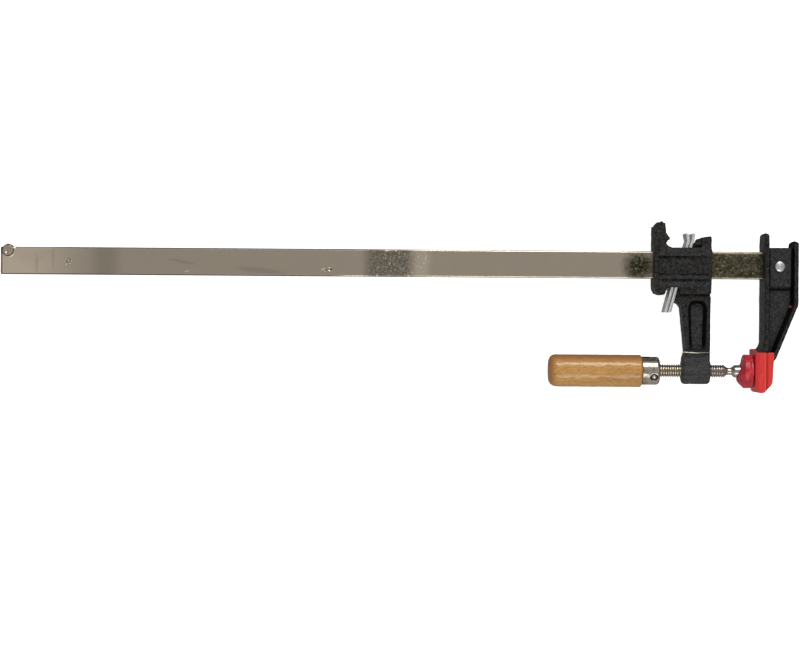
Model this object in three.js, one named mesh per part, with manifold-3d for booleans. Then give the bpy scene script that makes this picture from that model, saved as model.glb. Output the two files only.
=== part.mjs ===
// Clutch-style bar clamp: a fixed jaw riveted to a flat bar, and a sliding jaw with a screw.
// Millimetres. The clamp lies on its side: the bar runs along X with the fixed jaw at its +X end,
// the jaws reach towards -Y, and Z is the thickness. The model is laid out about the bar's
// centreline, with X = 0 at the front face of the fixed jaw, and the whole is moved at the end so
// that the origin is at the middle of the base of its bounding box.

import * as THREE from 'three';
import { mergeVertices } from 'three/addons/utils/BufferGeometryUtils.js';
import Module from 'manifold-3d';

const wasm = await Module();
wasm.setup();

// ---- Driving dimensions ----

const GAP = 0.3; // between pieces that touch on the real clamp
const BAR = { width: 19.05, thick: 4.8, left: -527.4, right: 18, edge: 1.1 };
const STOP = { fromEnd: 5, up: 7.2, radius: 4.2, thick: 6, dimple: 2.2, dimpleDeep: 0.7 };
const REACH = 73.2; // from the bar's centreline to the screw's axis

const JAW = { back: 22.6, half: 12, flange: 2.7, frontTop: 22, backTop: 16.6, kneeY: -28 };
const SLANT = { endX: 7.1, endY: -65.8 }; // where the back's slant meets the anvil
const WALL_CHAMFER = 1.5; // on the corners at the top of the fixed jaw's two walls
const SOCKET = { top: 12.2, bottom: -14.6, half: 6.6 };
const WEB_HALF = 3.4;
const ANVIL = { face: -4, top: -60, bottom: -86, backTop: 4, backBottom: 1.6 };
const RIVET = { x: 10.7, y: -0.7, shank: 2.5, head: 3.75, dome: 2.1 };
const BOOT = {
  face: -6.65, top: -57.7, bottom: -88.5, backTop: 6.5, backBottom: 5.1, half: 13.8,
  step: 2, stepDeep: 0.5, crooked: 4.8,
};

const HEAD = { left: -76.2, right: -37.1, top: 11.8, bottom: -20.7, half: 11.2, flangeHalf: 11.75 };
const ARM = { half: 8.5, waistY: -60.3, waistX: -53.7, pocketHalf: 3.5 };
const LUG_HALF = 1.1; // of the small lug beside the plates, on the head's lower side wall
const BOSS = { left: -55.9, right: -37.1, radius: 9, bore: 4.8 };

const PLATE = { thick: 2.1, pitch: 2.6, half: 8.4, middle: -56.8, lean: 19, footLean: 15 };
const PLATE_HOLE = { up: 10.8, half: 2.75 };
const PLATE_ENDS = { foot: -32.8, footBend: -14.7, tipBend: 16.5, tip: 21.9 };
const FULCRUM = { x: -61.9, y: -25.2 };
const RELEASE = 10; // degrees that the plates swing upright to let go of the bar
const SPRING = { left: -72.6, right: -65.5, y: -14.6, radius: 2.6, wire: 0.4, turns: 5 };

const THREAD = { major: 4.5, minor: 3.6, left: -72, right: -26.4 };
const NECK = { left: -25.4, right: -22.2, radius: 2.3 };
const COLLAR = { left: -19.6, right: -14.3, radius: 4.1 };
const BALL = { x: -11.4, radius: 2.2, neck: 1.6 };
const DISC = { left: -13.6, right: -8.5, radius: 9.5, mouth: 2 };
const CAP = { left: -16.2, shoulder: -13.2, right: -6.95, radius: 11.75, wall: 1.25, mouth: 5.2 };
const TANG = { left: -120, radius: 3.1 };

const HANDLE = { left: -148.7, right: -83.6, radius: 11.1, nose: 6 };
const FERRULE = { left: -83.3, right: -71.2, radius: 9.75, wall: 1.2, shoulder: 2.4, hole: 4.9 };
const NOTCH = { long: 4.4, wide: 2.2, turn: 75 };
const PIN = { x: -75.5, radius: 1.3, head: 2, dome: 1.1, turn: 29 };

// ---- Derived values ----

const RAD = Math.PI / 180;
const barHalf = BAR.thick / 2;
const barUp = BAR.width / 2;
const stackHalf = (PLATE.pitch + PLATE.thick) / 2;
const run = Math.tan(PLATE.lean * RAD);
const footRun = Math.tan(PLATE.footLean * RAD);
const cosLean = Math.cos(PLATE.lean * RAD);

const paint = finish(0x2d2b29, 0.62, 0.1);
const nickel = finish(0xa3997f, 0.3, 0.95);
const zinc = finish(0xd2d4d0, 0.38, 0.9);
const steel = finish(0xb9b4a8, 0.32, 0.95);
const redGrip = finish(0xe13c34, 0.5, 0);
const crimsonGrip = finish(0xbe2832, 0.5, 0);
const wood = finish(0xc89b5f, 0.42, 0);

// ---- Shape helpers ----

function finish(color, roughness, metalness) {
  return new THREE.MeshStandardMaterial({ color, roughness, metalness });
}

// An outline from corner points [x, y, radius]; a corner with a radius becomes a curve.
function outline(points) {
  const shape = new THREE.Shape();
  points.forEach(([x, y, radius = 0], i) => {
    const corner = new THREE.Vector2(x, y);
    const before = new THREE.Vector2(...points.at(i - 1));
    const after = new THREE.Vector2(...points[(i + 1) % points.length]);
    const start = corner.clone().add(before.sub(corner).setLength(radius));
    const end = corner.clone().add(after.sub(corner).setLength(radius));
    if (i === 0) {
      shape.moveTo(start.x, start.y);
    } else {
      shape.lineTo(start.x, start.y);
    }
    if (radius > 0) {
      shape.quadraticCurveTo(x, y, end.x, end.y);
    }
  });
  return shape;
}

// A slab of that outline, half its thickness on each side of the middle plane.
function slab(points, half, curveSegments = 3) {
  const settings = { depth: 2 * half, bevelEnabled: false, curveSegments };
  return new THREE.ExtrudeGeometry(outline(points), settings).translate(0, 0, -half);
}

// A box from its low corner to its high corner.
function box(low, high) {
  const size = high.map((value, i) => value - low[i]);
  const middle = high.map((value, i) => (value + low[i]) / 2);
  return new THREE.BoxGeometry(...size).translate(...middle);
}

// A turned shape about the X axis at a given Y, from [x, radius] points in order of rising x.
function turned(profile, y = 0, segments = 36) {
  const points = profile.map(([x, radius]) => new THREE.Vector2(radius, x));
  return new THREE.LatheGeometry(points, segments).rotateZ(-Math.PI / 2).translate(0, y, 0);
}

// A round bar about X, and one about Z.
function rodX(left, right, radius, y, segments = 36) {
  return turned([[left, 0], [left, radius], [right, radius], [right, 0]], y, segments);
}

function rodZ(x, y, radius, half, segments = 32) {
  return rodX(-half, half, radius, 0, segments).rotateY(Math.PI / 2).translate(x, y, 0);
}

// Points of an arc of a turned profile, from one angle to another, in degrees from +X.
function arc(x, radius, from, to, steps, lift = 0) {
  return Array.from({ length: steps + 1 }, (_, i) => {
    const angle = (from + ((to - from) * i) / steps) * RAD;
    return [x + radius * Math.cos(angle), lift + radius * Math.sin(angle)];
  });
}

// A closed solid for cutting and joining.
function solid(geometry) {
  const bare = geometry.clone();
  bare.deleteAttribute('normal');
  bare.deleteAttribute('uv');
  const merged = mergeVertices(bare, 1e-5);
  const kept = [];
  for (let i = 0; i < merged.index.count; i += 3) {
    const [a, b, c] = [0, 1, 2].map((k) => merged.index.getX(i + k));
    if (a !== b && b !== c && c !== a) {
      kept.push(a, b, c);
    }
  }
  const vertProperties = new Float32Array(merged.attributes.position.array);
  const triVerts = new Uint32Array(kept);
  return new wasm.Manifold(new wasm.Mesh({ numProp: 3, vertProperties, triVerts }));
}

function shapeOf(manifold) {
  const { vertProperties, triVerts } = manifold.getMesh();
  const geometry = new THREE.BufferGeometry();
  geometry.setAttribute('position', new THREE.BufferAttribute(vertProperties, 3));
  geometry.setIndex(new THREE.BufferAttribute(triVerts, 1));
  geometry.computeVertexNormals();
  return geometry;
}

function join(...geometries) {
  return geometries.map(solid).reduce((whole, next) => whole.add(next));
}

function cut(body, ...geometries) {
  return geometries.map(solid).reduce((rest, next) => rest.subtract(next), body);
}

// A point turned about the clutch plates' fulcrum, in degrees.
function swung([x, y], degrees) {
  const point = new THREE.Vector2(x, y);
  return point.rotateAround(new THREE.Vector2(FULCRUM.x, FULCRUM.y), degrees * RAD).toArray();
}

// ---- Bar ----

function bar() {
  const edge = [[barHalf, barUp], [-barHalf, barUp], [-barHalf, -barUp], [barHalf, -barUp]];
  const section = outline(edge.map(([x, y]) => [x, y, BAR.edge]));
  const settings = { depth: BAR.right - BAR.left, bevelEnabled: false, curveSegments: 4 };
  const blank = new THREE.ExtrudeGeometry(section, settings).rotateY(Math.PI / 2);
  const stopX = BAR.left + STOP.fromEnd;
  const stop = rodZ(stopX, STOP.up, STOP.radius, STOP.thick / 2);
  const dimples = [-1, 1].map((side) => {
    const rod = rodZ(stopX, STOP.up, STOP.dimple, STOP.dimpleDeep, 20);
    return rod.translate(0, 0, (side * STOP.thick) / 2);
  });
  const rivetHole = rodZ(RIVET.x, RIVET.y, RIVET.shank + GAP, BAR.thick);
  return cut(join(blank.translate(BAR.left, 0, 0), stop), ...dimples, rivetHole);
}

// ---- Fixed jaw ----

// The jaw's side outline, grown by a margin round the anvil for the pad that covers it.
function jawOutline(margin = 0) {
  const { back, flange, frontTop, backTop, kneeY } = JAW;
  return [
    [0, frontTop, 1.2], [0, -54, 2],
    [ANVIL.face - margin, ANVIL.top, 1],
    [ANVIL.face - margin, ANVIL.bottom - margin, 1.5],
    [ANVIL.backBottom + margin, ANVIL.bottom - margin, 1.5],
    [ANVIL.backTop + margin, -72, 2],
    [SLANT.endX + margin, SLANT.endY],
    [back + margin, kneeY, 3],
    [back + margin, backTop, 1.3],
    [back - flange, backTop, 1.3], [back - flange, SOCKET.top, 0.8],
    [flange, SOCKET.top, 0.8], [flange, frontTop, 1.2],
  ];
}

function fixedJaw() {
  const { back, half, flange, frontTop } = JAW;
  const inner = back - flange;
  const slope = (back - SLANT.endX) / (JAW.kneeY - SLANT.endY);
  const panelRecess = [
    [flange, frontTop], [flange, SOCKET.bottom], [inner, SOCKET.bottom], [inner, frontTop],
  ];
  const webBottom = -62;
  const webRecess = [
    [flange, SOCKET.bottom - 0.01, 0.8], [flange, webBottom, 1.2],
    [inner - slope * (JAW.kneeY - webBottom), webBottom, 1.2],
    [inner, JAW.kneeY, 2], [inner, SOCKET.bottom - 0.01, 0.8],
  ];
  const recesses = [-1, 1].flatMap((side) => {
    const panelDeep = (half - SOCKET.half) / 2 + 0.5;
    const webDeep = (half - WEB_HALF) / 2 + 0.5;
    return [
      slab(panelRecess, panelDeep).translate(0, 0, side * (SOCKET.half + panelDeep)),
      slab(webRecess, webDeep).translate(0, 0, side * (WEB_HALF + webDeep)),
    ];
  });
  const corners = [frontTop, JAW.backTop].flatMap((top) => [-1, 1].map((side) => {
    const cutter = box([-1, -WALL_CHAMFER, -WALL_CHAMFER], [back + 1, WALL_CHAMFER, WALL_CHAMFER]);
    cutter.translate(top === frontTop ? 0 : back / 2, 0, 0);
    return cutter.rotateX(Math.PI / 4).translate(0, top, side * half);
  }));
  const socketUp = barUp + GAP;
  const socketHalf = barHalf + GAP;
  const socket = box([-1, -socketUp, -socketHalf], [BAR.right + GAP, socketUp, socketHalf]);
  const rivetHole = rodZ(RIVET.x, RIVET.y, RIVET.shank + GAP, SOCKET.half + 1);
  return cut(join(slab(jawOutline(), half)), ...recesses, ...corners, socket, rivetHole);
}

// The rivet's shank with a domed head on each side of the socket's walls.
function rivet() {
  const seat = SOCKET.half + GAP;
  const dome = Array.from({ length: 6 }, (_, i) => {
    const angle = (i / 5) * 90 * RAD;
    return [seat + RIVET.dome * Math.sin(angle), RIVET.head * Math.cos(angle)];
  });
  const half = [[seat, RIVET.shank], ...dome];
  const mirror = half.map(([x, radius]) => [-x, radius]).reverse();
  return turned([...mirror, ...half], 0, 28).rotateY(-Math.PI / 2).translate(RIVET.x, RIVET.y, 0);
}

// The soft pad pushed over the anvil. It is open at the top, where the jaw comes out of it.
function fixedJawPad() {
  const { face, top, bottom, backTop, backBottom, half } = BOOT;
  const outer = slab([
    [face, top, 1], [face, bottom + 5, 0.5], [face + 1.8, bottom, 1.5],
    [backBottom - 5.7, bottom, 1.5], [backBottom, bottom + 6.6, 2], [backTop, top, 1],
  ], half);
  // Behind its front wall the pad is a little thinner.
  const thin = [-1, 1].map((side) => {
    const layer = box([BOOT.step, bottom - 1, -1], [backTop + 1, top + 1, 1]);
    return layer.translate(0, 0, side * (half + 1 - BOOT.stepDeep));
  });
  // It sits a little crooked, so its open end slopes from one side to the other.
  const slope = box([-20, 0, -30], [20, 10, 30]).rotateX(BOOT.crooked * RAD);
  slope.translate(0, top - half * Math.tan(BOOT.crooked * RAD), 0);
  return cut(join(outer), slab(jawOutline(GAP), JAW.half + GAP), ...thin, slope);
}

// ---- Sliding jaw ----

// The gap that the plates lean and swing in, between its walls at rest and released.
function plateSlot() {
  const right = (y) => PLATE.middle + run * y + stackHalf / cosLean + 0.35;
  const left = (y) => PLATE.middle + run * y - stackHalf / cosLean;
  const clear = 0.45;
  const lowLeft = swung([left(PLATE_ENDS.footBend), PLATE_ENDS.footBend], RELEASE);
  const highLeft = swung([left(HEAD.top + 4), HEAD.top + 4], RELEASE);
  return slab([
    [lowLeft[0] - clear, HEAD.bottom - 2], [lowLeft[0] - clear, lowLeft[1]],
    [highLeft[0] - clear, highLeft[1]], [right(highLeft[1]), highLeft[1]],
    [right(PLATE_ENDS.footBend), PLATE_ENDS.footBend], [FULCRUM.x, FULCRUM.y],
    [FULCRUM.x - 1, FULCRUM.y - 2],
  ], PLATE.half + 0.4);
}

// The hollow in one side of the arm, with walls that slope in to its floor.
function pocket(side) {
  const draft = 2.5;
  const proud = 2;
  const deep = ARM.half - ARM.pocketHalf;
  const rim = [[-52.9, -24.2, 6.4], [-39.2, -24.2, 6.4], [-40, -59.8, 4], [-51.6, -59.8, 4]];
  const shape = new THREE.ExtrudeGeometry(outline(rim), {
    depth: proud, curveSegments: 5,
    bevelThickness: deep, bevelSize: draft, bevelOffset: -draft, bevelSegments: 1,
  });
  return shape.translate(0, 0, side * (ARM.half + proud / 2) - proud / 2);
}

function slidingJaw() {
  const { left, right, top, bottom, half, flangeHalf } = HEAD;
  const stepY = bottom + 0.8;
  const block = slab([
    [left + 2, top], [left + 2, bottom, 3], [-69.2, bottom, 1],
    [-67.4, -15.4, 1], [-58.8, -15.4, 0.8], [-58.4, stepY, 0.5],
    [right, stepY, 0.5], [right + 0.8, 8.6, 0.5], [right, top],
  ], half);
  const flange = slab([
    [left, 27.2, 0.8], [left, -16.4, 1.5], [left + 1.7, -20, 0.5],
    [left + 2.6, -20, 0.3], [left + 2.4, 27.8, 0.8],
  ], flangeHalf);
  const leftPost = slab([
    [left + 1, top - 3], [left + 1, 28.2, 1], [-68.9, 28, 1.2], [-68.5, 22.3, 1],
    [-66.6, 19.4, 1], [-66.6, 17, 1], [-68.7, 14.8, 1], [-66.6, 12.9, 0.6],
    [-64.2, top, 0.6], [-62.6, top - 3],
  ], half);
  const rightPost = slab([
    [-43.4, top - 3], [-43.4, 18.8, 0.6], [-40.4, 18.9, 0.4], [-39.6, 19.6, 0.4],
    [right, 19.6, 0.6], [right, top - 3],
  ], half);
  const lumps = slab([
    [-50, top - 3], [-50.3, top, 0.5], [-48.5, 12.8, 0.5], [-48.4, 14.6, 0.5],
    [-46, 15.8, 0.6], [-45, 18.2, 0.6], [-42, 18.7, 0.4], [-42, top - 3],
  ], half - 2.4);
  const arm = slab([
    [-58.4, -16], [FULCRUM.x, FULCRUM.y, 0.3], [-58.5, -27, 0.8], [-56.8, -29.4, 1],
    [ARM.waistX, ARM.waistY, 2], [BOSS.left + 0.6, -64.6, 1], [-54.5, -70], [right - 0.7, -70],
    [right - 0.3, -16],
  ], ARM.half);
  const boss = turned([
    [BOSS.left, 0], [BOSS.left, BOSS.radius - 1.2], [BOSS.left + 1.2, BOSS.radius],
    [BOSS.right - 1, BOSS.radius], [BOSS.right, BOSS.radius - 1], [BOSS.right, 0],
  ], -REACH);
  const tunnelUp = barUp + 0.4;
  const tunnelHalf = barHalf + 0.35;
  const tunnel = box([left - 1, -tunnelUp, -tunnelHalf], [right + 2, tunnelUp, tunnelHalf]);
  const cheekRecess = [
    [left + 3, -6.9, 0.6], [right - 1.6, -6.9, 0.6], [right - 1.6, 5.9, 0.6], [left + 3, 5.9, 0.6],
  ];
  const lug = slab([[-56, top - 1], [-52.2, 15.8, 0.8], [-47, 15.8, 0.8], [-47, top - 1]], LUG_HALF);
  lug.translate(0, 0, LUG_HALF - half);
  const groove = [[left + 3, -10.7], [right - 0.6, -10.7], [right - 0.6, -10], [left + 3, -10]];
  const sideCuts = [-1, 1].flatMap((side) => [
    slab(cheekRecess, 0.5).translate(0, 0, side * half),
    slab(groove, 0.35).translate(0, 0, side * half),
    pocket(side),
  ]);
  const springBore = rodX(SPRING.left - 0.4, -62, 3.4, SPRING.y, 24);
  const threadBore = rodX(BOSS.left - 1, BOSS.right + 1, BOSS.bore, -REACH);
  const casting = join(block, flange, leftPost, rightPost, lumps, lug, arm, boss);
  return cut(casting, tunnel, plateSlot(), ...sideCuts, springBore, threadBore);
}

// ---- Clutch ----

// One leaning plate: side is -1 for the left one and 1 for the right one. Its tip bends by its
// own angle, its foot hangs a little steeper than its middle, and the bar goes through its hole.
function clutchPlate(side, tipLean) {
  const { foot, footBend, tipBend, tip } = PLATE_ENDS;
  const middle = PLATE.middle + (side * PLATE.pitch) / 2 / cosLean;
  const tipRun = Math.tan(tipLean * RAD);
  const line = [
    [middle + run * footBend + footRun * (foot - footBend), foot],
    [middle + run * footBend, footBend],
    [middle + run * tipBend, tipBend],
    [middle + run * tipBend + tipRun * (tip - tipBend), tip],
  ];
  const wide = PLATE.thick / 2 / cosLean;
  const radii = [0.5, 0, 0, 0.5];
  const edges = line.map(([x, y], i) => [x + wide, y, radii[i]]);
  const others = line.map(([x, y], i) => [x - wide, y, radii[i]]).reverse();
  const hole = box(
    [-4, -PLATE_HOLE.up, -PLATE_HOLE.half],
    [4, PLATE_HOLE.up, PLATE_HOLE.half],
  ).rotateZ(-PLATE.lean * RAD).translate(middle, 0, 0);
  return cut(join(slab([...edges, ...others], PLATE.half, 2)), hole);
}

// A compression spring between the head's left wall and the left plate, holding the plates over.
class Coil extends THREE.Curve {
  getPoint(t) {
    const angle = 2 * Math.PI * SPRING.turns * t;
    const start = SPRING.left + SPRING.wire;
    const x = start + (SPRING.right - SPRING.left - 2 * SPRING.wire) * t;
    const y = SPRING.y + SPRING.radius * Math.cos(angle);
    return new THREE.Vector3(x, y, SPRING.radius * Math.sin(angle));
  }
}

function clutchSpring() {
  const section = new THREE.Shape().absarc(0, 0, SPRING.wire, 0, 2 * Math.PI);
  const settings = { steps: 12 * SPRING.turns, extrudePath: new Coil(), curveSegments: 3 };
  return new THREE.ExtrudeGeometry(section, settings);
}

// ---- Screw ----

// The threaded rod, with a tang in the handle, and a neck, collar and ball at the pad's end.
function screw() {
  const ballStart = 180 - Math.asin(BALL.neck / BALL.radius) / RAD;
  const body = turned([
    [TANG.left, 0], [TANG.left, TANG.radius], [THREAD.left, TANG.radius],
    [THREAD.left, THREAD.major - 0.6], [THREAD.left + 0.6, THREAD.major],
    [THREAD.right - 1, THREAD.major], [THREAD.right, THREAD.minor],
    [NECK.left, NECK.radius], [NECK.right, NECK.radius],
    [COLLAR.left - 1, COLLAR.radius - 0.9], [COLLAR.left, COLLAR.radius],
    [COLLAR.right - 0.4, COLLAR.radius], [COLLAR.right, COLLAR.radius - 0.4],
    [COLLAR.right, BALL.neck],
    ...arc(BALL.x, BALL.radius, ballStart, 0, 7),
  ], -REACH, 40);
  return cut(join(body), crossPin(PIN.radius + GAP, 1.5));
}

// The metal pad that is closed over the ball, so that it tips and the screw turns in it.
function swivelPad() {
  const seatRadius = BALL.radius + GAP;
  const mouthEnd = BALL.x - Math.sqrt(seatRadius ** 2 - DISC.mouth ** 2);
  const disc = rodX(DISC.left, DISC.right, DISC.radius, -REACH);
  const seat = turned(arc(BALL.x, seatRadius, 180, 0, 9), -REACH, 24);
  const mouth = rodX(DISC.left - 1, mouthEnd, DISC.mouth, -REACH, 24);
  return cut(join(disc), seat, mouth);
}

// The soft cap over the metal pad: its back tapers to the mouth that the screw goes in by.
function swivelPadCap() {
  const { left, shoulder, right, radius, wall, mouth } = CAP;
  const body = turned([
    [left, 0], [left, mouth + 0.8], [shoulder, radius - 0.4], [shoulder + 0.6, radius],
    [right - 0.4, radius], [right, radius - 0.4], [right, 0],
  ], -REACH);
  const hollow = rodX(DISC.left - GAP, right - wall, DISC.radius + GAP, -REACH);
  const opening = rodX(left - 1, right - wall, mouth, -REACH);
  return cut(join(body), hollow, opening);
}

// ---- Handle ----

function handle() {
  const { left, right, radius, nose } = HANDLE;
  const tenon = FERRULE.radius - FERRULE.wall - GAP;
  const bore = TANG.radius + GAP;
  const end = FERRULE.right - FERRULE.wall - GAP;
  const body = turned([
    [left, 0], ...arc(left + nose, nose, 180, 90, 7, radius - nose),
    [right - 1.2, radius], [right, radius - 0.5], [right, tenon],
    [end - FERRULE.shoulder, tenon], [end - 0.6, tenon - 1.8], [end - 0.6, 0],
  ], -REACH, 40);
  const tangBore = rodX(TANG.left - GAP, end + 1, bore, -REACH);
  return cut(join(body), tangBore, crossPin(PIN.radius + GAP, FERRULE.radius));
}

// The metal cup on the handle's end, with a slot in its rim.
function ferrule() {
  const { left, right, radius, wall, shoulder, hole } = FERRULE;
  const outside = [
    [left, radius], [right - shoulder, radius],
    ...arc(right - shoulder, shoulder, 67.5, 0, 3, radius - shoulder),
    [right, hole],
  ];
  const inside = [
    [right - wall, hole], [right - wall, radius - shoulder],
    [right - shoulder, radius - wall], [left, radius - wall], [left, radius],
  ];
  const cup = turned([...outside, ...inside], -REACH, 40);
  const slot = box([left - 1, 0, -NOTCH.wide / 2], [left + NOTCH.long, radius + 2, NOTCH.wide / 2]);
  slot.rotateX((90 - NOTCH.turn) * RAD).translate(0, -REACH, 0);
  return cut(join(cup), slot, crossPin(PIN.radius + GAP, radius + 1));
}

// A round bar across the screw's axis, along the pin.
function crossPin(radius, half) {
  const reach = Math.max(half, THREAD.major);
  return rodZ(0, 0, radius, reach, 16).rotateX(PIN.turn * RAD).translate(PIN.x, -REACH, 0);
}

// The headed pin that holds the ferrule, the handle and the screw's tang together.
function handlePin() {
  const seat = FERRULE.radius + 0.1;
  const dome = Array.from({ length: 5 }, (_, i) => {
    const angle = (i / 4) * 90 * RAD;
    return [seat + PIN.dome * Math.sin(angle), PIN.head * Math.cos(angle)];
  });
  const pin = turned([
    [-seat, 0], [-seat, PIN.radius], [seat, PIN.radius], ...dome,
  ], 0, 20);
  return pin.rotateY(-Math.PI / 2).rotateX(PIN.turn * RAD).translate(PIN.x, -REACH, 0);
}

// ---- Assembly ----

const clamp = new THREE.Group();

function add(name, shape, material) {
  const geometry = shape.isBufferGeometry ? shape : shapeOf(shape);
  const mesh = new THREE.Mesh(geometry, material);
  mesh.name = name;
  clamp.add(mesh);
  return mesh;
}

add('bar', bar(), nickel);
add('fixed_jaw', fixedJaw(), paint);
add('fixed_jaw_rivet', rivet(), zinc);
add('fixed_jaw_pad', fixedJawPad(), redGrip);
add('sliding_jaw', slidingJaw(), paint);
add('clutch_plate_left', clutchPlate(-1, -12), zinc);
add('clutch_plate_right', clutchPlate(1, 10), zinc);
add('clutch_spring', clutchSpring(), steel);
add('screw', screw(), nickel);
add('swivel_pad', swivelPad(), steel);
add('swivel_pad_cap', swivelPadCap(), crimsonGrip);
add('handle', handle(), wood);
add('ferrule', ferrule(), nickel);
add('handle_pin', handlePin(), zinc);

// The origin goes to the middle of the base of the clamp's bounding box.
const bounds = new THREE.Box3().setFromObject(clamp);
const middle = bounds.getCenter(new THREE.Vector3());
clamp.position.set(-middle.x, -middle.y, -bounds.min.z);

export default clamp;
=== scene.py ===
"""The looks of a clutch-style bar clamp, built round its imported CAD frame.

Sizes are in millimetres about the bar's centreline, with X = 0 at the fixed jaw's front face, as the
clamp is laid out; at() turns such a place into the frame's metres.
"""

import math
from contextlib import contextmanager
from functools import partial, reduce

import bmesh
import bpy
import numpy as np
from mathutils import Matrix, Vector, noise


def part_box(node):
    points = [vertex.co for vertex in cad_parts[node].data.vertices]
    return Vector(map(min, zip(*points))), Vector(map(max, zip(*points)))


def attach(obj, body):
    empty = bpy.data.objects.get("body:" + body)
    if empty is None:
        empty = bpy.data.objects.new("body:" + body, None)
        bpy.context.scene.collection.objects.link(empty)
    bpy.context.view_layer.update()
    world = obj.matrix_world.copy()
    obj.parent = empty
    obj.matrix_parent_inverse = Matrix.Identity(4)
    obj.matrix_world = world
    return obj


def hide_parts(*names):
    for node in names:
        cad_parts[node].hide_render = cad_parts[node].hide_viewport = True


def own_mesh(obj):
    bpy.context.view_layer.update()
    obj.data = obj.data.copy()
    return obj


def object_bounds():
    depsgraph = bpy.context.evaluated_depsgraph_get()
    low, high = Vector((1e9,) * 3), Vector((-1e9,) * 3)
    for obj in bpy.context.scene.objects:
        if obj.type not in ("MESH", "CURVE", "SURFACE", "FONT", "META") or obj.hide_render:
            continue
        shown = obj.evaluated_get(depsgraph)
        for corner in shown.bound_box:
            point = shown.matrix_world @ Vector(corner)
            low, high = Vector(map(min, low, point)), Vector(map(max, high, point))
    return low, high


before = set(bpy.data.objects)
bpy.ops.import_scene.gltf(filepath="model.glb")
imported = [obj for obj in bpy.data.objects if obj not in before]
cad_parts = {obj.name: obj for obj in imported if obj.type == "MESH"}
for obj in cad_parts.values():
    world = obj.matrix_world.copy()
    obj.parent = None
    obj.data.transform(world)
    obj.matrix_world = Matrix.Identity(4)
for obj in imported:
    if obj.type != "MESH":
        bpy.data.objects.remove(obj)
cad_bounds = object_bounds()

MM = 0.001

# ---- Sizes taken from the frame ----

bar_low, bar_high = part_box("bar")
handle_low, handle_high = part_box("handle")
JAW_BACK = 22.6
BAR_HALF_WIDTH = 9.525
DATUM = Vector((
    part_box("fixed_jaw")[1].x - JAW_BACK * MM,
    bar_low.y + BAR_HALF_WIDTH * MM,
    (bar_low.z + bar_high.z) / 2,
))
BAR_LEFT = (bar_low.x - DATUM.x) / MM
BAR_RIGHT = (bar_high.x - DATUM.x) / MM
AXIS_Y = ((handle_low.y + handle_high.y) / 2 - DATUM.y) / MM  # the screw's axis
FERRULE_RADIUS = 9.75
PIN_X = -75.5
PIN_TURN = math.radians(29)
PIN_OUT = Vector((0, -math.sin(PIN_TURN), math.cos(PIN_TURN)))  # the way the pin's head faces
X_AXIS = Vector((1, 0, 0))


def at(x, y, z=0.0):
    """A place given in millimetres, in the frame's metres."""
    return DATUM + Vector((x, y, z)) * MM


def place_of(point):
    """The other way round: a point of the frame, in millimetres."""
    return (point - DATUM) / MM


# ---- Mesh helpers ----

def object_of(name, mesh):
    piece = bpy.data.objects.new(name, mesh)
    bpy.context.scene.collection.objects.link(piece)
    return piece


def smooth(piece):
    piece.data.shade_smooth()
    return piece


@contextmanager
def edited(mesh):
    """The mesh, open for bmesh's tools, and written back afterwards."""
    work = bmesh.new()
    work.from_mesh(mesh)
    yield work
    work.to_mesh(mesh)
    work.free()


def turn_angles(count):
    """The angles of one full turn in that many equal steps."""
    return [2 * math.pi * j / count for j in range(count)]


def skin(name, rings, closed=False):
    """A surface over rings of points in millimetres: closed joins the last ring to the first,
    and otherwise each end is closed by a face or, where its ring has no size, by a point."""
    count = len(rings[0])
    points = [at(*point) for ring in rings for point in ring]
    faces = []
    last = len(rings) if closed else len(rings) - 1
    for i in range(last):
        a, b = i * count, (i + 1) % len(rings) * count
        for j in range(count):
            k = (j + 1) % count
            faces.append((a + j, a + k, b + k, b + j))
    if not closed:
        faces.append(tuple(reversed(range(count))))
        faces.append(tuple(range((len(rings) - 1) * count, len(rings) * count)))
    mesh = bpy.data.meshes.new(name)
    mesh.from_pydata(points, [], faces)
    with edited(mesh) as work:
        bmesh.ops.remove_doubles(work, verts=work.verts, dist=1e-6)
        bmesh.ops.dissolve_degenerate(work, dist=1e-7, edges=work.edges)
        bmesh.ops.recalc_face_normals(work, faces=work.faces)
    return smooth(object_of(name, mesh))


def softened(points, steps=5):
    """A line of (x, r) or (x, r, fillet) points with its fillets turned into curves."""
    line = []
    for i, (x, r, *fillet) in enumerate(points):
        if not fillet:
            line.append((x, r))
            continue
        corner = Vector((x, r))
        before = Vector(points[i - 1][:2]) - corner
        after = Vector(points[(i + 1) % len(points)][:2]) - corner
        start = corner + before.normalized() * fillet[0]
        end = corner + after.normalized() * fillet[0]
        for k in range(steps + 1):
            t = k / steps
            spot = start * (1 - t) ** 2 + corner * 2 * t * (1 - t) + end * t * t
            line.append((spot.x, spot.y))
    return line


def divided(line, longest):
    """The same line with no stretch longer than that."""
    made = [line[0]]
    for (x0, r0), (x1, r1) in zip(line, line[1:]):
        parts = max(1, math.ceil(math.hypot(x1 - x0, r1 - r0) / longest))
        made += [(x0 + (x1 - x0) * k / parts, r0 + (r1 - r0) * k / parts) for k in range(1, parts + 1)]
    return made


def turned(name, line, segments, closed=False, bend=None):
    """A turned shape about the screw's axis. bend(x, r, angle) may move each point."""
    rings = []
    for x, r in line:
        ring = []
        for angle in turn_angles(segments):
            bx, br = bend(x, r, angle) if bend else (x, r)
            ring.append((bx, AXIS_Y + br * math.cos(angle), br * math.sin(angle)))
        rings.append(ring)
    return skin(name, rings, closed)


def headed(name, centre, axis, line, segments):
    """A turned pin or rivet about an axis through the centre, square to X. The line is of
    (out, up) points."""
    side = axis.cross(X_AXIS)
    rings = []
    for out, up in line:
        middle = centre + axis * up
        rings.append([
            tuple(middle + (X_AXIS * math.cos(a) + side * math.sin(a)) * out)
            for a in turn_angles(segments)
        ])
    return skin(name, rings)


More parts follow.
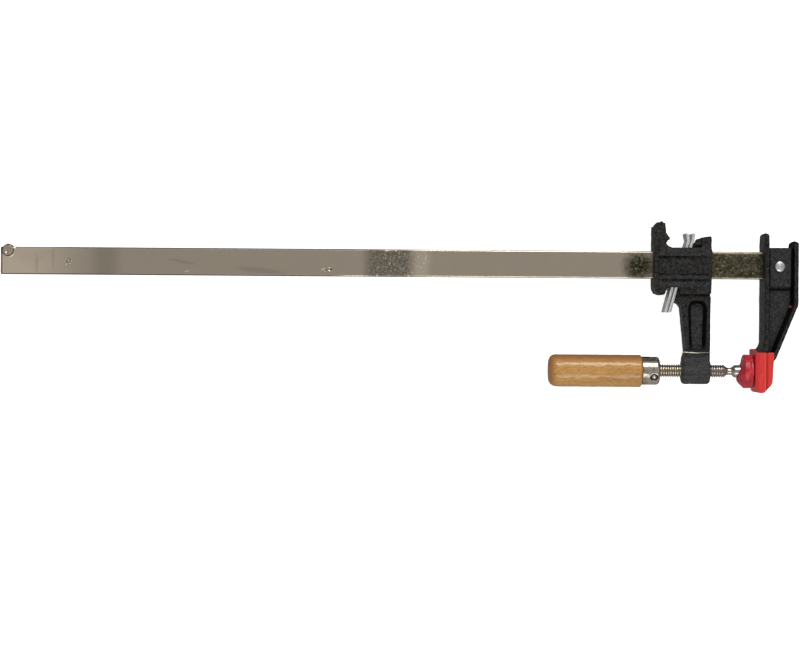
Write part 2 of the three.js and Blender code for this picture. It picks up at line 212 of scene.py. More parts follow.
def bake(piece):
    """Applies the piece's modifiers to its mesh."""
    graph = bpy.context.evaluated_depsgraph_get()
    mesh = bpy.data.meshes.new_from_object(piece.evaluated_get(graph))
    piece.modifiers.clear()
    piece.data = mesh
    return piece


def copy_of(node, name):
    """A copy of a CAD node's mesh with its doubled points merged."""
    piece = object_of(name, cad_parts[node].data.copy())
    piece.data.materials.clear()
    with edited(piece.data) as work:
        bmesh.ops.remove_doubles(work, verts=work.verts, dist=1e-6)
    return piece


def reworked(piece, change):
    """Moves every point of a mesh: change(place, normal) gives its shift, all in millimetres."""
    moved = []
    for vertex in piece.data.vertices:
        place = place_of(vertex.co)
        moved.append(vertex.co + change(place, vertex.normal) * MM)
    piece.data.vertices.foreach_set("co", np.array(moved, np.float32).ravel())
    piece.data.update()
    return piece


def cast(node, name, grain, rounds, change, blobs=()):
    """A CAD node made again as a casting or moulding: a fine even mesh with its edges softened
    in so many rounds, then reworked. Blobs are round lumps, each (x, y, z, radius), that melt
    into it."""
    piece = copy_of(node, name)
    with edited(piece.data) as work:
        for x, y, z, radius in blobs:
            spot = Matrix.Translation(at(x, y, z))
            bmesh.ops.create_icosphere(work, subdivisions=3, radius=radius * MM, matrix=spot)
    voxels = piece.modifiers.new("voxels", "REMESH")
    voxels.mode = "VOXEL"
    voxels.voxel_size = grain * MM
    soften = piece.modifiers.new("soften", "SMOOTH")
    soften.factor = 0.5
    soften.iterations = rounds
    return smooth(reworked(bake(piece), change))


def machined(node, name, edge):
    """A CAD node made again with its edges broken."""
    piece = copy_of(node, name)
    with edited(piece.data) as work:
        bmesh.ops.dissolve_limit(
            work, angle_limit=math.radians(1), verts=work.verts, edges=work.edges
        )
    bevel = piece.modifiers.new("edges", "BEVEL")
    bevel.width = edge * MM
    bevel.segments = 2
    bevel.limit_method = "ANGLE"
    bevel.angle_limit = math.radians(30)
    bevel.harden_normals = True
    smooth(piece)
    return bake(piece)


def lumps(place, size, seed=0.0):
    """Soft noise from -1 to 1 over places in millimetres."""
    return noise.noise(place / size + Vector((seed, 7 * seed, 3 * seed)))


def ease(value, low, high):
    """0 below low, 1 above high, and a smooth rise between; high may be the lower one."""
    t = min(1.0, max(0.0, (value - low) / (high - low)))
    return t * t * (3 - 2 * t)


def rounding(past, radius):
    """The shift that brings a point back onto a rounded edge or corner. past is how far the point
    is from the middle of the rounding along each axis."""
    past = Vector(past)
    if past.length <= radius:
        return Vector()
    return past * (radius / past.length - 1)


def settle(piece, body, nodes, look):
    """Gives a piece its body, the CAD nodes that it stands for and its material."""
    piece.data.materials.clear()
    piece.data.materials.append(look)
    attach(piece, body)
    if nodes:
        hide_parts(*nodes)


# ---- Material helpers ----

def colour(red, green, blue):
    """A shader colour from a display colour of 0 to 255."""
    def linear(value):
        share = value / 255
        return share / 12.92 if share <= 0.04045 else ((share + 0.055) / 1.055) ** 2.4
    return (linear(red), linear(green), linear(blue), 1)


def wire(tree, socket, value):
    """Links a socket to another, or sets it to a value."""
    if isinstance(value, bpy.types.NodeSocket):
        tree.links.new(value, socket)
    else:
        socket.default_value = value


def mixed(tree, share, a, b):
    made = tree.nodes.new("ShaderNodeMix")
    made.data_type = "RGBA"
    wire(tree, made.inputs["Factor"], share)
    for socket, value in zip([s for s in made.inputs if s.type == "RGBA"], (a, b)):
        wire(tree, socket, value)
    return next(s for s in made.outputs if s.type == "RGBA")


class Look:
    """A material, built up from its Principled shader. Values may be constants or sockets."""

    def __init__(self, name, **settings):
        self.material = bpy.data.materials.new(name)
        self.material.use_nodes = True
        self.tree = self.material.node_tree
        self.shader = self.tree.nodes["Principled BSDF"]
        self.place = self.node("ShaderNodeTexCoord").outputs["Object"]
        self.set(**settings)

    def node(self, kind, inputs=(), **settings):
        made = self.tree.nodes.new(kind)
        for key, value in settings.items():
            setattr(made, key, value)
        for key, value in dict(inputs).items():
            wire(self.tree, made.inputs[key], value)
        return made

    def set(self, **values):
        """Sets inputs of the shader, each by its label with _ for a space."""
        for label, value in values.items():
            wire(self.tree, self.shader.inputs[label.replace("_", " ")], value)

    def maths(self, operation, a, b=0.0, clamp=False):
        made = self.node("ShaderNodeMath", {0: a, 1: b}, operation=operation, use_clamp=clamp)
        return made.outputs[0]

    def vector(self, operation, a, b=(0, 0, 0)):
        """A sum on vectors that gives a vector."""
        return self.node("ShaderNodeVectorMath", {0: a, 1: b}, operation=operation).outputs["Vector"]

    def measure(self, operation, a, b=(0, 0, 0)):
        """A sum on vectors that gives a number."""
        return self.node("ShaderNodeVectorMath", {0: a, 1: b}, operation=operation).outputs["Value"]

    def times(self, *values):
        """The product of several values."""
        return reduce(partial(self.maths, "MULTIPLY"), values)

    def total(self, *values):
        return reduce(partial(self.maths, "ADD"), values)

    def most(self, *values):
        """The highest of several values."""
        return reduce(partial(self.maths, "MAXIMUM"), values)

    def stretched(self, x, y, z):
        """The place scaled along each axis, so that noise runs in streaks."""
        made = self.node("ShaderNodeMapping", {"Vector": self.place, "Scale": (x, y, z)})
        return made.outputs["Vector"]

    def noise(self, size, detail=3.0, rough=0.55, vector=None):
        """Noise with features of about that many millimetres, from 0 to 1."""
        made = self.node("ShaderNodeTexNoise", {
            "Vector": vector or self.place, "Scale": 1 / (size * MM),
            "Detail": detail, "Roughness": rough,
        })
        return made.outputs["Fac"]

    def rise(self, value, low, high, to_low=0.0, to_high=1.0):
        """A smooth step between two values of the input."""
        made = self.node("ShaderNodeMapRange", {
            "Value": value, "From Min": low, "From Max": high,
            "To Min": to_low, "To Max": to_high,
        }, interpolation_type="SMOOTHSTEP")
        return made.outputs["Result"]

    def axis(self, name):
        """One coordinate, in millimetres from the datum."""
        parts = self.node("ShaderNodeSeparateXYZ", {0: self.place})
        start = getattr(DATUM, name.lower())
        return self.times(self.maths("SUBTRACT", parts.outputs[name], start), 1 / MM)

    def depth(self):
        """How far from the clamp's middle plane, in millimetres."""
        return self.maths("ABSOLUTE", self.axis("Z"))

    def within(self, value, low, high, edge):
        """1 between two values of the input, with soft edges of that width."""
        inside = self.rise(value, low - edge, low + edge)
        beyond = self.rise(value, high - edge, high + edge)
        return self.maths("SUBTRACT", inside, beyond, clamp=True)

    def band(self, name, low, high, edge):
        """1 between two coordinates."""
        return self.within(self.axis(name), low, high, edge)

    def slope(self, start, facing):
        """How far in from a slanting line across the clamp, in millimetres."""
        away = self.vector("SUBTRACT", self.place, at(*start))
        return self.times(self.measure("DOT_PRODUCT", away, (*facing, 0)), -1 / MM)

    def radius(self, centre, across):
        """How far from a line through the centre, in millimetres. across is 1 for each axis
        square to the line."""
        away = self.vector("SUBTRACT", self.place, at(*centre))
        return self.times(self.measure("LENGTH", self.vector("MULTIPLY", away, across)), 1 / MM)

    def patch(self, x_low, x_high, y_low, y_high, edge=0.35):
        """1 inside a rectangle over the clamp's flat sides."""
        return self.times(self.band("X", x_low, x_high, edge), self.band("Y", y_low, y_high, edge))

    def spot(self, centre, radius, edge):
        """1 within a radius of a point, both in millimetres, falling to 0 over the edge."""
        far = self.times(self.measure("DISTANCE", self.place, at(*centre)), 1 / MM)
        return self.rise(far, radius, radius + edge, 1.0, 0.0)

    def oval(self, x, y, half_x, half_y, turn=0.0, edge=0.4):
        """1 inside an oval over the flat sides, falling to 0 over that share of its size."""
        made = self.node("ShaderNodeMapping", {
            "Vector": self.place, "Location": at(x, y),
            "Rotation": (0, 0, math.radians(turn)), "Scale": (half_x * MM, half_y * MM, 1000),
        }, vector_type="TEXTURE")
        far = self.measure("LENGTH", made.outputs["Vector"])
        return self.rise(far, 1 - edge, 1 + edge, 1.0, 0.0)

    def mix(self, share, a, b):
        """From a to b as the share goes from 0 to 1: sockets, or display colours of 0 to 255."""
        a, b = (colour(*value) if isinstance(value, tuple) else value for value in (a, b))
        return mixed(self.tree, share, a, b)

    def bump(self, height, depth, normal=None):
        """Raises the surface by that many millimetres where the height is 1."""
        made = self.node("ShaderNodeBump", {"Height": height, "Distance": depth * MM})
        if normal:
            wire(self.tree, made.inputs["Normal"], normal)
        self.set(Normal=made.outputs["Normal"])
        return made.outputs["Normal"]

    def soften(self, weight):
        """Lets some light into the vinyl, red the deepest."""
        depths = (0.004, 0.001, 0.001)
        self.set(Subsurface_Weight=weight, Subsurface_Radius=depths, Subsurface_Scale=0.5)

    def edges(self, low, high):
        """1 on outward edges of a fine mesh or, with high below low, down in its creases."""
        point = self.node("ShaderNodeNewGeometry").outputs["Pointiness"]
        return self.rise(point, low, high)


# ---- Materials ----

def bar_look():
    """Satin nickel, warm, with dark speckled patches towards the jaws; its lighter left end is a
    painted reflection, and painted shade lies along its edges.
    """
    look = Look("bar_nickel", Metallic=0.95)
    along = look.axis("X")
    clouds = look.noise(30, 3, vector=look.stretched(1, 1.8, 1))
    # Lighter and warmer towards the left end: a painted reflection.
    base = look.mix(look.rise(along, -512, -462), (243, 226, 202), (200, 187, 168))
    base = look.mix(look.rise(clouds, 0.35, 0.65, 0, 0.25), base, (182, 171, 152))

    # Faint stains: ovals with their strength.
    stains = [
        (-502.4, -3, 0.9, 8, 0, 0.2), (-491, 2, 0.9, 9, 0, 0.16),
        (-402, 0, 8.5, 1.0, -11, 0.22), (-348, -5.6, 15, 1.9, -6, 0.22),
    ]
    stained = look.most(
        look.times(look.band("X", -463, -447, 6), 0.3),
        *[look.times(look.oval(*shape), strength) for *shape, strength in stains],
    )
    base = look.mix(stained, base, (120, 110, 98))

    # A grey patch half way, and olive ones by the head and in the throat, all speckled.
    grains = look.noise(1.0, 4, 0.7)
    specks = look.noise(1.8, 4, 0.75, look.stretched(1, 1, 1.3))
    grey = look.times(look.band("X", -274, -243, 5), look.rise(grains, 0.32, 0.58, 0.3, 1.0))
    base = look.mix(look.times(grey, 0.95), base, (104, 97, 87))
    across = look.axis("Y")
    head_end = look.oval(-86, -1, 9.5, 9, 0, 0.55)
    off_edges = look.times(look.rise(across, 8.6, 6.8), look.rise(across, -9.0, -7.4))
    throat = look.times(look.band("X", -40, 2, 4), look.rise(off_edges, 0, 1, 0.45, 1))
    olive = look.most(head_end, throat)
    olive = look.times(olive, look.rise(look.noise(3.5, 4), 0.25, 0.55, 0.82, 1.0))
    base = look.mix(olive, base, (92, 88, 68))
    soot = look.times(olive, look.rise(look.noise(1.7, 4, 0.7), 0.46, 0.58, 0, 0.85))
    base = look.mix(soot, base, (46, 44, 36))
    burnt = look.times(look.oval(-84, -1, 5.5, 6, 0, 0.6), look.rise(look.noise(1.4, 3), 0.42, 0.55))
    base = look.mix(look.times(burnt, 0.85), base, (24, 22, 18))
    patch = look.most(look.band("X", -272, -231, 4), olive)
    flecks = look.times(patch, look.rise(specks, 0.57, 0.66, 0, 0.7))
    fleck = look.mix(look.rise(along, -240, -90), (250, 240, 214), (198, 186, 150))
    base = look.mix(flecks, base, fleck)

    # Painted shade: dark lines along the edges and across the left end, where they catch no light, and
    # rings round the stop.
    rim = look.most(
        look.times(look.rise(across, -8.5, -9.1), look.rise(along, -284, -300)),
        look.times(
            look.rise(across, 8.5, 9.1), look.rise(along, -256, -284), look.rise(along, -500, -484),
        ),
        look.times(look.rise(along, -525.6, -526.6), 0.8),
    )
    rim = look.times(rim, look.rise(look.depth(), 0.9, 1.5))
    base = look.mix(look.times(rim, 0.9), base, (44, 36, 27))
    # Painted shade in the punched dimple round the stop, on its rim and inside it.
    out = look.radius((STOP_X, STOP_UP), (1, 1, 0))
    ringed = look.most(look.within(out, 3.4, 4.3, 0.3), look.times(look.rise(out, 4.0, 3.4), 0.4))
    ringed = look.times(ringed, look.rise(grains, 0.3, 0.55, 0.5, 0.9))
    base = look.mix(ringed, base, (72, 62, 50))

    # Pits and bright chips: the chip by the pit near x = -304 is a painted highlight, the one near x =
    # -398 a bright scratch.
    pits = look.most(
        look.times(look.oval(-481, 0, 2.2, 2.4), look.rise(look.noise(0.8, 2), 0.5, 0.62)),
        look.oval(-299.4, -4.6, 1.3, 0.9, 10), look.oval(-302.6, -5.2, 0.9, 0.6, 20),
    )
    base = look.mix(look.times(pits, 0.75), base, (84, 76, 62))
    chips = look.most(look.oval(-304.2, -4.6, 1.6, 0.8, 20), look.oval(-398.5, -6.6, 1.7, 0.5, 8))
    chips = look.times(chips, look.maths("SUBTRACT", 1.0, pits))
    look.set(Base_Color=look.mix(chips, base, (236, 226, 196)))

    streaks = look.noise(0.35, 2, vector=look.stretched(0.04, 1, 1))
    look.set(Roughness=look.total(
        look.rise(clouds, 0.3, 0.7, 0.16, 0.24), look.times(streaks, 0.1),
        look.times(patch, 0.14), look.times(rim, 0.4),
    ))
    normal = look.bump(streaks, 0.004)
    normal = look.bump(look.times(grains, patch), 0.07, normal)
    look.bump(look.times(pits, -1), 0.3, normal)
    return look.material


def paint_look(name, dust_and_sheen, painted_shade, chips=()):
    """Black enamel over a cast skin: mottled and brownish outside, greyer where dust lies, and darkest,
    as painted shade, in creases and recesses. dust_and_sheen(look) and painted_shade(look) say where,
    the first also giving a painted sheen; chips are (place, radius)."""
    look = Look(name, Metallic=0.0)
    grain = look.noise(0.8, 5, 0.75)
    mottle = look.noise(2.4, 4, 0.65)
    cloud = look.noise(9, 3)
    paint = look.mix(look.rise(mottle, 0.41, 0.59), (9, 9, 9), (37, 37, 36))
    paint = look.mix(look.rise(cloud, 0.46, 0.66, 0, 0.35), paint, (44, 33, 28))
    # Greyer where dust lies; where dust_and_sheen marks the head's raised bands, this is a painted
    # sheen.
    dust = look.times(dust_and_sheen(look), look.rise(mottle, 0.3, 0.6, 0.45, 1.0), 0.8)
    paint = look.mix(dust, paint, (49, 49, 50))
    paint = look.mix(look.rise(grain, 0.57, 0.66, 0, 0.7), paint, (98, 94, 88))
    worn = look.times(look.edges(0.53, 0.58), look.rise(look.noise(2.5, 3), 0.35, 0.6, 0.2, 0.8))
    paint = look.mix(worn, paint, (106, 86, 72))
    # On the boss and the jaws' feet a cooler, lighter paint colour in streaks stands in as a painted
    # sheen.
    streaks = look.noise(1.7, 4, 0.6, look.stretched(0.15, 1, 0.3))
    boss_and_feet_sheen = look.mix(look.rise(streaks, 0.34, 0.66), (52, 53, 55), (76, 76, 77))
    paint = look.mix(look.rise(look.axis("Y"), -60, -67, 0, 0.75), paint, boss_and_feet_sheen)
    # Painted shade: darkest in the mesh's creases and where painted_shade gives, with the shine taken
    # out there too.
    dark = look.most(look.edges(0.47, 0.42), painted_shade(look))
    paint = look.mix(look.times(dark, 0.9), paint, (5, 4, 4))
    if chips:
        spots = look.most(*[look.spot(place, radius, 0.4) for place, radius in chips])
        paint = look.mix(spots, paint, (176, 88, 56))
    look.set(Base_Color=paint, Roughness=look.rise(look.noise(1.6, 3), 0.3, 0.7, 0.36, 0.58))
    shine = look.rise(look.noise(1.5, 4, 0.7), 0.38, 0.62, 0.08, 0.42)
    look.set(Specular_IOR_Level=look.times(shine, look.rise(dark, 0, 1, 1.0, 0.06)))
    normal = look.bump(grain, 0.3)
    look.bump(mottle, 0.7, normal)
    return look.material


def jaw_look():
    """The fixed jaw's paint has two chips down to a copper-coloured undercoat, and painted shade in the
    corners beside its walls.
    """
    def dust_and_sheen(look):
        # Only dust here: the recessed panel and web are greyer.
        return look.times(look.rise(look.depth(), 9.4, 8.4), look.band("X", 2.6, 20.2, 0.3))

    def painted_shade(look):
        in_from_slant = look.slope(SLANT_START, SLANT_FACING)
        # Painted shade in the crevices beside the front and back walls, along the step and inside the
        # slant.
        lines = look.most(
            look.patch(2.1, 4.3, -60, 22), look.patch(18.3, 20.4, -27, 22),
            look.times(look.patch(2.6, 20, -17.1, -15.7, 0.5), 0.85),
            look.times(look.rise(look.axis("Y"), -26, -29), look.within(in_from_slant, 2.5, 4.4, 0.4)),
        )
        return look.times(look.rise(look.depth(), 11.4, 10.2), lines)

    chips = [((18.8, -28.2, 3.4), 0.55), ((3.9, -35, 5), 0.4)]
    return paint_look("fixed_jaw_paint", dust_and_sheen, painted_shade, chips)


def head_look():
    """The sliding head's paint: darkest, as painted shade, round its recess, along its grooves, in the
    arm's hollow and among the clinker on its right post, with a painted sheen on the bands above and
    below its recess."""
    def dust_and_sheen(look):
        inner = look.times(look.rise(look.depth(), 8.8, 7.0), look.band("X", -73.6, -37.4, 0.4))
        # Painted sheen on the raised bands above and below the recess, broken into streaks.
        rim = look.most(look.patch(-73, -38, 6.0, 11.6, 0.6), look.patch(-73, -38, -15, -7.4, 0.6))
        sheen_streaks = look.noise(1.3, 4, 0.7, look.stretched(0.25, 1, 1))
        return look.most(inner, look.times(rim, look.rise(sheen_streaks, 0.44, 0.6, 0.2, 1.3)))

    def painted_shade(look):
        # Painted shade along the grooves, under the block, on the arm pocket's walls and among the
        # clinker.
        lines = look.most(
            look.patch(-73.4, -39, -7.3, -5.9, 0.6), look.patch(-73.4, -39, 4.4, 6.2, 0.7),
            look.patch(-73.4, -38, -11.4, -9.7, 0.6), look.patch(-58, -38, -21.5, -20, 0.6),
        )
        ragged = look.rise(look.noise(3.2, 4, 0.7), 0.34, 0.58, 0.2, 0.85)
        walls = look.times(
            look.patch(-53.2, -38.9, -60, -24, 0.3), look.within(look.depth(), 3.9, 8.0, 0.3),
            look.rise(look.axis("Y"), -58.5, -54, 0.2, 0.9),
        )
        return look.most(
            look.times(lines, ragged), walls,
            look.spot((-47.2, 11.4, 8.2), 1.2, 1.2), look.spot((-45.0, 12.2, 9.2), 1.1, 1.0),
            look.spot((-41.7, 15.6, 9.8), 0.6, 1.0),
        )

    return paint_look("sliding_jaw_paint", dust_and_sheen, painted_shade)


def zinc_look():
    """Bright zinc plate with rolled streaks and duller spots."""
    look = Look("zinc", Metallic=0.85)
    streaks = look.noise(0.5, 3, vector=look.stretched(1, 0.06, 0.25))
    dull = look.noise(2.2, 4, 0.65)
    base = look.mix(look.rise(streaks, 0.35, 0.65), (206, 209, 205), (248, 249, 245))
    base = look.mix(look.rise(dull, 0.54, 0.7, 0, 0.6), base, (136, 138, 134))
    base = look.mix(look.rise(look.edges(0.5, 0.56), 0.1, 0.9, 0, 0.12), base, (92, 90, 84))
    look.set(Base_Color=base, Roughness=look.rise(dull, 0.3, 0.7, 0.28, 0.5))
    look.bump(streaks, 0.03)
    return look.material


def rivet_look():
    """Zinc with dull clouds, for the rivet and the pin."""
    look = Look("rivet_zinc", Metallic=0.9)
    dull = look.noise(1.1, 4, 0.65)
    base = look.mix(look.rise(dull, 0.45, 0.7), (222, 224, 222), (150, 150, 146))
    look.set(Base_Color=base, Roughness=look.rise(dull, 0.3, 0.7, 0.22, 0.42))
    look.bump(look.noise(0.8, 3), 0.04)
    return look.material


def screw_look():
    """Warm nickel, darker down in the thread."""
    look = Look("screw_nickel", Metallic=0.95)
    out = look.radius((0, AXIS_Y), (0, 1, 1))
    root = look.times(look.rise(out, 4.3, 3.7), look.band("X", -80, -25.6, 0.4))
    spots = look.noise(1.3, 4, 0.65)
    base = look.mix(look.rise(spots, 0.4, 0.7), (214, 202, 182), (176, 162, 140))
    base = look.mix(look.times(root, 0.65), base, (104, 90, 72))
    base = look.mix(look.rise(look.axis("X"), -42, -38, 0, 0.6), base, (166, 160, 158))
    rough = look.total(look.rise(spots, 0.3, 0.7, 0.2, 0.34), look.times(root, 0.2))
    look.set(Base_Color=base, Roughness=rough)
    look.bump(look.noise(0.5, 3), 0.03)
    return look.material


def ferrule_look():
    """Drawn nickel-plated cup with fine rings and cloudy stains, with painted shade in the dimple round
    the pin and a painted shadow beside the slot in its rim.
    """
    look = Look("ferrule_nickel", Metallic=0.95)
    rings = look.noise(0.25, 2, vector=look.stretched(1, 0.05, 0.05))
    stain = look.noise(3.5, 4, 0.6)
    base = look.mix(look.rise(stain, 0.4, 0.68), (198, 190, 176), (138, 128, 112))
    # Painted shade in the dimple round the pin, and a painted shadow beside the slot in the rim.
    pressed = look.spot((PIN_X, AXIS_Y + 8.9 * PIN_OUT.y, 8.9 * PIN_OUT.z), 2.3, 0.7)  # round the pin
    slot = look.times(
        look.patch(-84, -77.8, AXIS_Y + 8.7, AXIS_Y + 12, 0.3), look.rise(look.axis("Z"), -0.5, 0.5),
    )
    base = look.mix(look.most(look.times(pressed, 0.9), slot), base, (34, 29, 25))
    look.set(Base_Color=base, Roughness=look.rise(stain, 0.3, 0.7, 0.18, 0.36))
    normal = look.bump(rings, 0.01)
    look.bump(look.noise(2.4, 2), 0.07, normal)
    return look.material


def spring_look():
    """Bare spring wire."""
    look = Look("spring_wire", Metallic=0.95)
    dull = look.noise(0.8, 3)
    base = look.mix(look.rise(dull, 0.4, 0.7), (176, 174, 168), (120, 112, 100))
    look.set(Base_Color=base, Roughness=look.rise(dull, 0.3, 0.7, 0.25, 0.45))
    look.bump(dull, 0.02)
    return look.material


def red_look():
    """Dipped vinyl: bright red with faint drawn streaks, scuffs and dust, and painted shade on its
    front lip and down its groove.
    """
    look = Look("red_vinyl", Metallic=0.0)
    streaks = look.noise(0.7, 3, vector=look.stretched(1, 0.12, 1))
    dust = look.noise(0.6, 4, 0.75)
    base = look.mix(look.rise(streaks, 0.35, 0.65), (222, 42, 40), (236, 60, 52))
    base = look.mix(look.rise(dust, 0.64, 0.76, 0, 0.35), base, (206, 150, 138))
    # Painted shade: darker on the front lip's face.
    base = look.mix(look.rise(look.axis("X"), -2.5, -5.5, 0, 0.5), base, (176, 36, 44))
    # Painted shade down the groove on each flat side.
    groove_shade = look.times(look.band("X", 0.7, 1.9, 0.4), look.rise(streaks, 0.3, 0.6, 0.45, 0.9))
    base = look.mix(groove_shade, base, (150, 20, 26))
    pale = look.times(look.band("X", -0.4, 0.5, 0.4), look.rise(dust, 0.3, 0.6, 0.1, 0.45))
    base = look.mix(pale, base, (244, 92, 80))
    look.set(Base_Color=base, Roughness=look.rise(dust, 0.3, 0.75, 0.34, 0.5))
    look.soften(0.08)
    normal = look.bump(streaks, 0.06)
    look.bump(look.noise(3.0, 2), 0.2, normal)
    return look.material


def crimson_look():
    """The swivel cap's darker vinyl with dust specks, darker and more purple round its back."""
    look = Look("crimson_vinyl", Metallic=0.0)
    dust = look.noise(0.7, 4, 0.75)
    cloud = look.noise(4, 3)
    base = look.mix(look.rise(cloud, 0.35, 0.65), (184, 30, 44), (222, 54, 64))
    base = look.mix(look.rise(look.axis("X"), -12.4, -14.0, 0, 0.5), base, (160, 34, 60))
    base = look.mix(look.rise(dust, 0.58, 0.74, 0, 0.5), base, (200, 122, 128))
    look.set(Base_Color=base, Roughness=look.rise(dust, 0.3, 0.75, 0.3, 0.5))
    look.soften(0.06)
    look.bump(look.noise(2.4, 3), 0.25)
    return look.material


def wood_look():
    """Clear-varnished light hardwood: long grain, short dark flecks and a slightly wavy varnish, with
    painted shade at its rounded left end and along its far side.
    """
    look = Look("varnished_wood", Metallic=0.0)
    grain = look.noise(1.6, 4, 0.6, look.stretched(0.05, 1, 1))
    broad = look.noise(7, 3, 0.5, look.stretched(0.12, 1, 1))
    flecks = look.noise(0.55, 3, 0.7, look.stretched(0.16, 1, 1))
    base = look.mix(look.rise(broad, 0.3, 0.7), (224, 170, 84), (202, 146, 66))
    base = look.mix(look.rise(grain, 0.45, 0.7, 0, 0.55), base, (176, 122, 58))
    base = look.mix(look.rise(flecks, 0.58, 0.7, 0, 0.65), base, (134, 84, 38))
    pores = look.noise(0.9, 4, 0.75, look.stretched(0.4, 1, 1))
    base = look.mix(look.rise(pores, 0.48, 0.62, 0, 0.65), base, (154, 100, 44))
    # Painted shade: darker at the rounded left end and along the far side.
    ends = look.rise(look.axis("X"), -141, -148, 0, 0.75)
    far = look.rise(look.axis("Y"), AXIS_Y + 5.5, AXIS_Y + 10.8, 0, 0.85)
    base = look.mix(look.most(ends, far), base, (158, 92, 42))
    look.set(Base_Color=base, Roughness=look.rise(flecks, 0.3, 0.7, 0.42, 0.56))
    look.set(Coat_Weight=0.6, Coat_Roughness=0.17)
    normal = look.bump(pores, -0.34)
    normal = look.bump(look.noise(2.6, 2, 0.4, look.stretched(0.5, 1, 1)), 0.26, normal)
    look.bump(look.noise(6, 2, 0.4, look.stretched(0.4, 1, 1)), 0.35, normal)
    return look.material


def seam_glint_look():
    """The thin seam across the arm's paint, bright at its left part as worn bare metal and a painted
    highlight.
    """
    look = Look("seam", Metallic=0.2, Roughness=0.4)
    # Bright at the left part: partly worn bare metal, partly a painted highlight.
    base = look.mix(look.rise(look.axis("X"), -48, -42), (226, 222, 206), (128, 128, 126))
    base = look.mix(look.rise(look.noise(1.2, 3), 0.45, 0.65, 0, 0.5), base, (150, 146, 136))
    look.set(Base_Color=base)
    look.bump(look.noise(0.6, 2), 0.03)
    return look.material


# ---- Bar ----

STOP_X = BAR_LEFT + 5
STOP_UP = 7.2
STOP_RADIUS = 4.2
STAMPED = 12  # how far from the stop the bar is out of shape
BAR_ROUND = 1.1
BAR_HALF_THICK = 2.4
BAR_CHAMFER = 0.35


def bar_section(step):
    """The bar's section as (y, z) points, closely spaced round its rounded edges and faces."""
    flat_y = BAR_HALF_WIDTH - BAR_ROUND
    flat_z = BAR_HALF_THICK - BAR_ROUND
    line = []
    for quarter, (y, z) in enumerate([(1, 1), (-1, 1), (-1, -1), (1, -1)]):
        for k in range(7):
            angle = math.radians(90 * quarter + 15 * k)
            out_y, out_z = BAR_ROUND * math.cos(angle), BAR_ROUND * math.sin(angle)
            line.append((flat_y * y + out_y, flat_z * z + out_z))
    return divided(line + [line[0]], step)[:-1]


def stamped(x, y, z):
    """The bar's upset end: its edge is bulged, and its faces ringed, round the stop, as by a
    blunt punch."""
    off = x - STOP_X
    if abs(off) > STAMPED:
        return (x, y, z)
    share = ease(y, 2.5, BAR_HALF_WIDTH)
    reach = max(0.0, STOP_RADIUS ** 2 - off ** 2)
    bulge = max(0.0, STOP_UP + math.sqrt(reach) - BAR_HALF_WIDTH)
    wobble = 0.25 * lumps(Vector((x, y, z)), 1.6, 2.0)
    away = math.hypot(off, y - STOP_UP)
    lift = 0.55 * ease(away, 5.2, 3.2)
    ring = 0.2 * math.cos(2 * math.pi * away / 2.3) * ease(away, 8.0, 2.5)
    pit = 0.7 * ease(math.hypot(off + 0.8, y - STOP_UP + 2.6), 1.3, 0.3)
    side = math.copysign(1, z) * ease(abs(z), 0.4, BAR_HALF_THICK)
    return (x, y + share * bulge * (1 + wobble), z + side * (lift + ring - pit))


def make_bar(look):
    """The bar, with fine steps near its stamped end and a chamfer round that end."""
    detailed = BAR_LEFT + 18
    stations = [*np.arange(BAR_LEFT, detailed, 0.4), *np.arange(detailed, BAR_RIGHT, 4.0), BAR_RIGHT]
    section = bar_section(0.5)
    rings = [[stamped(x, y, z) for y, z in section] for x in stations]
    rings[0] = [(x + BAR_CHAMFER, y, z) for x, y, z in rings[0]]
    rings.insert(0, [stamped(BAR_LEFT, y * 0.96, z * 0.96) for y, z in section])
    settle(skin("bar_plated", rings), "frame", ["bar"], look)


# ---- Castings ----

# The fixed jaw's front and back walls, and the sliding jaw's left edge.
WALL = {"thick": 2.7, "half": 12.0, "front_top": 22.0, "back_top": 16.6, "dome": 1.2}
FLANGE = {"left": -76.2, "half": 11.75, "round": 1.5}
SLANT_FACING = Vector((0.925, -0.379))  # the way the slant of the fixed jaw's back faces
SLANT_START = Vector((JAW_BACK, -28.0))


def wall_rounding(place, deep, facing, top):
    """Rounds the free edges of one of the fixed jaw's walls into a bead, and domes its top. deep
    is how far the point is in from the wall's outer face, and facing is the way that face looks."""
    radius = WALL["thick"] / 2
    if deep > WALL["thick"] + 0.6:
        return Vector()
    along = max(0.0, abs(place.z) - WALL["half"] + radius)
    up = max(0.0, place.y - top + radius)
    if along == 0 and up == 0:
        return Vector()
    shift = rounding((deep - radius, along, up), radius)
    drop = (WALL["dome"] * (abs(place.z) / WALL["half"]) ** 2.5 - 0.4) * ease(place.y, 13.5, top)
    return Vector((
        -facing.x * shift.x, -facing.y * shift.x + shift.z - drop, math.copysign(shift.y, place.z),
    ))


def fixed_jaw_skin(place, normal):
    """Cast skin, with beaded and slightly wavy walls that stand out at the front and back."""
    height = 0.08 * lumps(place, 1.1) + 0.11 * lumps(place, 3.2, 1.0) + 0.08
    height += 0.12 * lumps(Vector((0, place.y, 0)), 9, 2.0)
    ends = ease(place.x, 0.8, 0.4) + ease(place.x, JAW_BACK - 0.8, JAW_BACK - 0.4)
    height += 0.35 * ends * ease(abs(normal.x), 0.75, 0.95) * ease(place.y, -62, -58)
    height -= 0.6 * ease(place.y, -64, -66)  # inside the pad
    shift = normal * height
    if place.y > -56:
        shift += wall_rounding(place, place.x, Vector((-1, 0)), WALL["front_top"])
    beyond = (SLANT_START - Vector((place.x, place.y))).dot(SLANT_FACING)
    if beyond < JAW_BACK - place.x:
        shift += wall_rounding(place, beyond, SLANT_FACING, WALL["back_top"])
    else:
        shift += wall_rounding(place, JAW_BACK - place.x, Vector((1, 0)), WALL["back_top"])
    return shift


